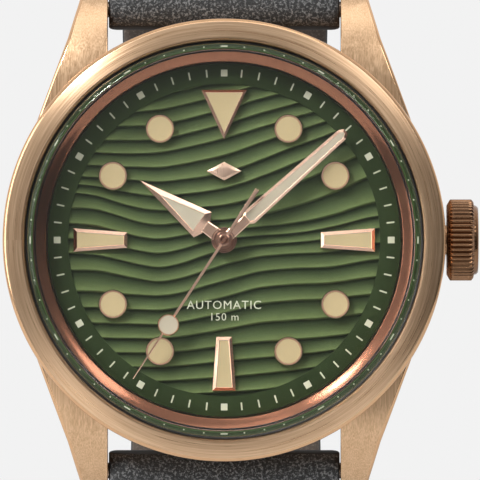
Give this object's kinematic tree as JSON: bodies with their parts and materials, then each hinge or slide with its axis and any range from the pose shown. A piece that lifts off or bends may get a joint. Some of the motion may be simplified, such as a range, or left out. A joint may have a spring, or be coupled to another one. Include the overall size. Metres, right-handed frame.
{
  "type": "dive watch",
  "caption": "Round automatic dive watch with green wave dial, domed window, bronze case, fluted crown, display back and two-piece cloth strap with pin buckle.",
  "frame": {"origin": "middle of the back window's flat outer face, on the dial's axis", "axes": "+Z to twelve o'clock, +X to three o'clock and the crown, -Y out of the dial towards the reader, +Y out of the case back"},
  "size_m": [0.0408, 0.1039, 0.0795],
  "materials": {
    "bronze_case": "bronze, finely brushed on top with polished edges",
    "rose_gilt": "polished copper-rose plating",
    "gilt_brass": "gilt, circular grained",
    "steel": "fine brushed",
    "green_dial": "translucent green lacquer over a pressed wave pattern",
    "lume": "cream luminous compound in a polished rim",
    "sapphire": "clear, polished",
    "rubber_seal": "satin black",
    "strap_cloth": "heathered charcoal cloth with dark edges"
  },
  "bodies": {
    "case": {"case_middle": "bronze_case", "bezel": "bronze_case", "crystal": "sapphire", "crystal_gasket": "rubber_seal", "rehaut_ring": "rose_gilt", "dial": "green_dial", "emblem": "rose_gilt", "case_back_ring": "steel", "back_window": "sapphire", "case_back_gasket": "rubber_seal", "movement_ring": "steel", "crown_tube": "steel", "main_plate": "steel", "train_bridge": "steel", "balance_cock": "steel", "auto_bridge": "steel", "rotor_bearing": "steel", "spring_bar_12": "steel", "spring_bar_6": "steel", "marker_1": "lume", "marker_2": "lume", "marker_3": "lume", "marker_4": "lume", "marker_5": "lume", "marker_6": "lume", "marker_7": "lume", "marker_8": "lume", "marker_9": "lume", "marker_10": "lume", "marker_11": "lume", "marker_12": "lume"},
    "hour": {"hour_hand": "rose_gilt"},
    "minute": {"minute_hand": "rose_gilt"},
    "seconds": {"seconds_hand": "rose_gilt", "fourth_wheel": "gilt_brass"},
    "third_wheel": {"third_wheel": "gilt_brass"},
    "escape_wheel": {"escape_wheel": "steel"},
    "barrel": {"barrel": "gilt_brass"},
    "pallet_fork": {"pallet_fork": "steel"},
    "balance": {"balance_wheel": "gilt_brass", "hairspring": "steel"},
    "rotor": {"rotor": "gilt_brass"},
    "clutch": {"clutch_wheel": "steel"},
    "crown": {"crown": "bronze_case", "stem": "steel"},
    "crown_wheel": {"crown_wheel": "gilt_brass"},
    "ratchet_wheel": {"ratchet_wheel": "gilt_brass"},
    "setting_lever": {"setting_lever": "steel"},
    "strap_12_a": {"strap_12_a": "strap_cloth"},
    "strap_12_b": {"strap_12_b": "strap_cloth"},
    "strap_12_c": {"strap_12_c": "strap_cloth", "buckle_bar": "steel", "fixed_keeper": "strap_cloth"},
    "strap_6_a": {"strap_6_a": "strap_cloth"},
    "strap_6_b": {"strap_6_b": "strap_cloth"},
    "strap_6_c": {"strap_6_c": "strap_cloth"},
    "strap_6_d": {"strap_6_d": "strap_cloth"},
    "buckle_frame": {"buckle_frame": "bronze_case"},
    "buckle_tang": {"buckle_tang": "bronze_case"},
    "sliding_keeper": {"sliding_keeper": "strap_cloth"}
  },
  "joints": [
    {"name": "minute_turn", "type": "hinge", "parent": "case", "child": "minute", "pos_m": [0, 0, 0], "axis": [0, 1, 0], "continuous": true},
    {"name": "hour_turn", "type": "hinge", "parent": "case", "child": "hour", "pos_m": [0, 0, 0], "axis": [0, 1, 0], "continuous": true},
    {"name": "seconds_turn", "type": "hinge", "parent": "case", "child": "seconds", "pos_m": [0, 0, 0], "axis": [0, 1, 0], "continuous": true},
    {"name": "third_wheel_turn", "type": "hinge", "parent": "case", "child": "third_wheel", "pos_m": [-0.0046, 0, 0.0034], "axis": [0, 1, 0], "continuous": true},
    {"name": "escape_wheel_turn", "type": "hinge", "parent": "case", "child": "escape_wheel", "pos_m": [-0.0074, 0, -0.0012], "axis": [0, 1, 0], "continuous": true},
    {"name": "barrel_turn", "type": "hinge", "parent": "case", "child": "barrel", "pos_m": [0.00438, 0, 0.00606], "axis": [0, 1, 0], "continuous": true},
    {"name": "pallet_fork_swing", "type": "hinge", "parent": "case", "child": "pallet_fork", "pos_m": [-0.0072, 0, -0.0044], "axis": [0, 1, 0], "range_deg": [-8, 8]},
    {"name": "balance_swing", "type": "hinge", "parent": "case", "child": "balance", "pos_m": [-0.0042, 0, -0.0066], "axis": [0, 1, 0], "range_deg": [-270, 270], "stiffness_Nm_per_rad": 0.00000015},
    {"name": "rotor_turn", "type": "hinge", "parent": "case", "child": "rotor", "pos_m": [0, 0, 0], "axis": [0, 1, 0], "continuous": true},
    {"name": "crown_turn", "type": "hinge", "parent": "case", "child": "clutch", "pos_m": [0, -0.00445, 0], "axis": [1, 0, 0], "continuous": true},
    {"name": "crown_pull", "type": "slide", "parent": "clutch", "child": "crown", "axis": [1, 0, 0], "range_m": [0, 0.0016]},
    {"name": "crown_wheel_turn", "type": "hinge", "parent": "case", "child": "crown_wheel", "pos_m": [0.0072, 0, 0.0023], "axis": [0, 1, 0], "continuous": true},
    {"name": "ratchet_wheel_turn", "type": "hinge", "parent": "case", "child": "ratchet_wheel", "pos_m": [0.00438, 0, 0.00606], "axis": [0, 1, 0], "continuous": true},
    {"name": "setting_lever_swing", "type": "hinge", "parent": "case", "child": "setting_lever", "pos_m": [0.0094, 0, -0.0026], "axis": [0, 1, 0], "range_deg": [0, 12.2]},
    {"name": "strap_12_swing", "type": "hinge", "parent": "case", "child": "strap_12_a", "pos_m": [0, -0.0027, 0.0199], "axis": [1, 0, 0], "range_deg": [-6, 50]},
    {"name": "strap_12_flex_1", "type": "hinge", "parent": "strap_12_a", "child": "strap_12_b", "pos_m": [0, 0.01794, 0.03333], "axis": [1, 0, 0], "range_deg": [-3, 28], "stiffness_Nm_per_rad": 0.03},
    {"name": "strap_12_flex_2", "type": "hinge", "parent": "strap_12_b", "child": "strap_12_c", "pos_m": [0, 0.03991, 0.02083], "axis": [1, 0, 0], "range_deg": [-3, 28], "stiffness_Nm_per_rad": 0.03},
    {"name": "strap_6_swing", "type": "hinge", "parent": "case", "child": "strap_6_a", "pos_m": [0, -0.0027, -0.0199], "axis": [-1, 0, 0], "range_deg": [-6, 50]},
    {"name": "strap_6_flex_1", "type": "hinge", "parent": "strap_6_a", "child": "strap_6_b", "pos_m": [0, 0.01654, -0.04032], "axis": [-1, 0, 0], "range_deg": [-3, 28], "stiffness_Nm_per_rad": 0.03},
    {"name": "strap_6_flex_2", "type": "hinge", "parent": "strap_6_b", "child": "strap_6_c", "pos_m": [0, 0.04535, -0.04598], "axis": [-1, 0, 0], "range_deg": [-3, 28], "stiffness_Nm_per_rad": 0.03},
    {"name": "strap_6_flex_3", "type": "hinge", "parent": "strap_6_c", "child": "strap_6_d", "pos_m": [0, 0.07251, -0.03494], "axis": [-1, 0, 0], "range_deg": [-3, 28], "stiffness_Nm_per_rad": 0.03},
    {"name": "buckle_swing", "type": "hinge", "parent": "strap_12_c", "child": "buckle_frame", "pos_m": [0, 0.05147, -0.00138], "axis": [1, 0, 0], "range_deg": [-60, 30]},
    {"name": "tang_swing", "type": "hinge", "parent": "buckle_frame", "child": "buckle_tang", "pos_m": [0, 0.05147, -0.00138], "axis": [1, 0, 0], "range_deg": [0, 80]},
    {"name": "keeper_slide", "type": "slide", "parent": "strap_12_c", "child": "sliding_keeper", "axis": [0, 0.5095, -0.8604], "range_m": [-0.006, 0.003]}
  ],
  "couplings": [
    {"joint": "hour_turn", "follows": "minute_turn", "ratio": 0.083333},
    {"joint": "seconds_turn", "follows": "minute_turn", "ratio": 60},
    {"joint": "third_wheel_turn", "follows": "minute_turn", "ratio": -8},
    {"joint": "escape_wheel_turn", "follows": "minute_turn", "ratio": -600},
    {"joint": "barrel_turn", "follows": "minute_turn", "ratio": -0.13333},
    {"joint": "crown_wheel_turn", "follows": "crown_turn", "ratio": 0.8},
    {"joint": "ratchet_wheel_turn", "follows": "crown_turn", "ratio": -0.59259},
    {"joint": "setting_lever_swing", "follows": "crown_pull", "rad_per_m": 131},
    {"joint": "strap_12_flex_2", "follows": "strap_12_flex_1", "ratio": 1},
    {"joint": "strap_6_flex_2", "follows": "strap_6_flex_1", "ratio": 1},
    {"joint": "strap_6_flex_3", "follows": "strap_6_flex_1", "ratio": 1}
  ]
}
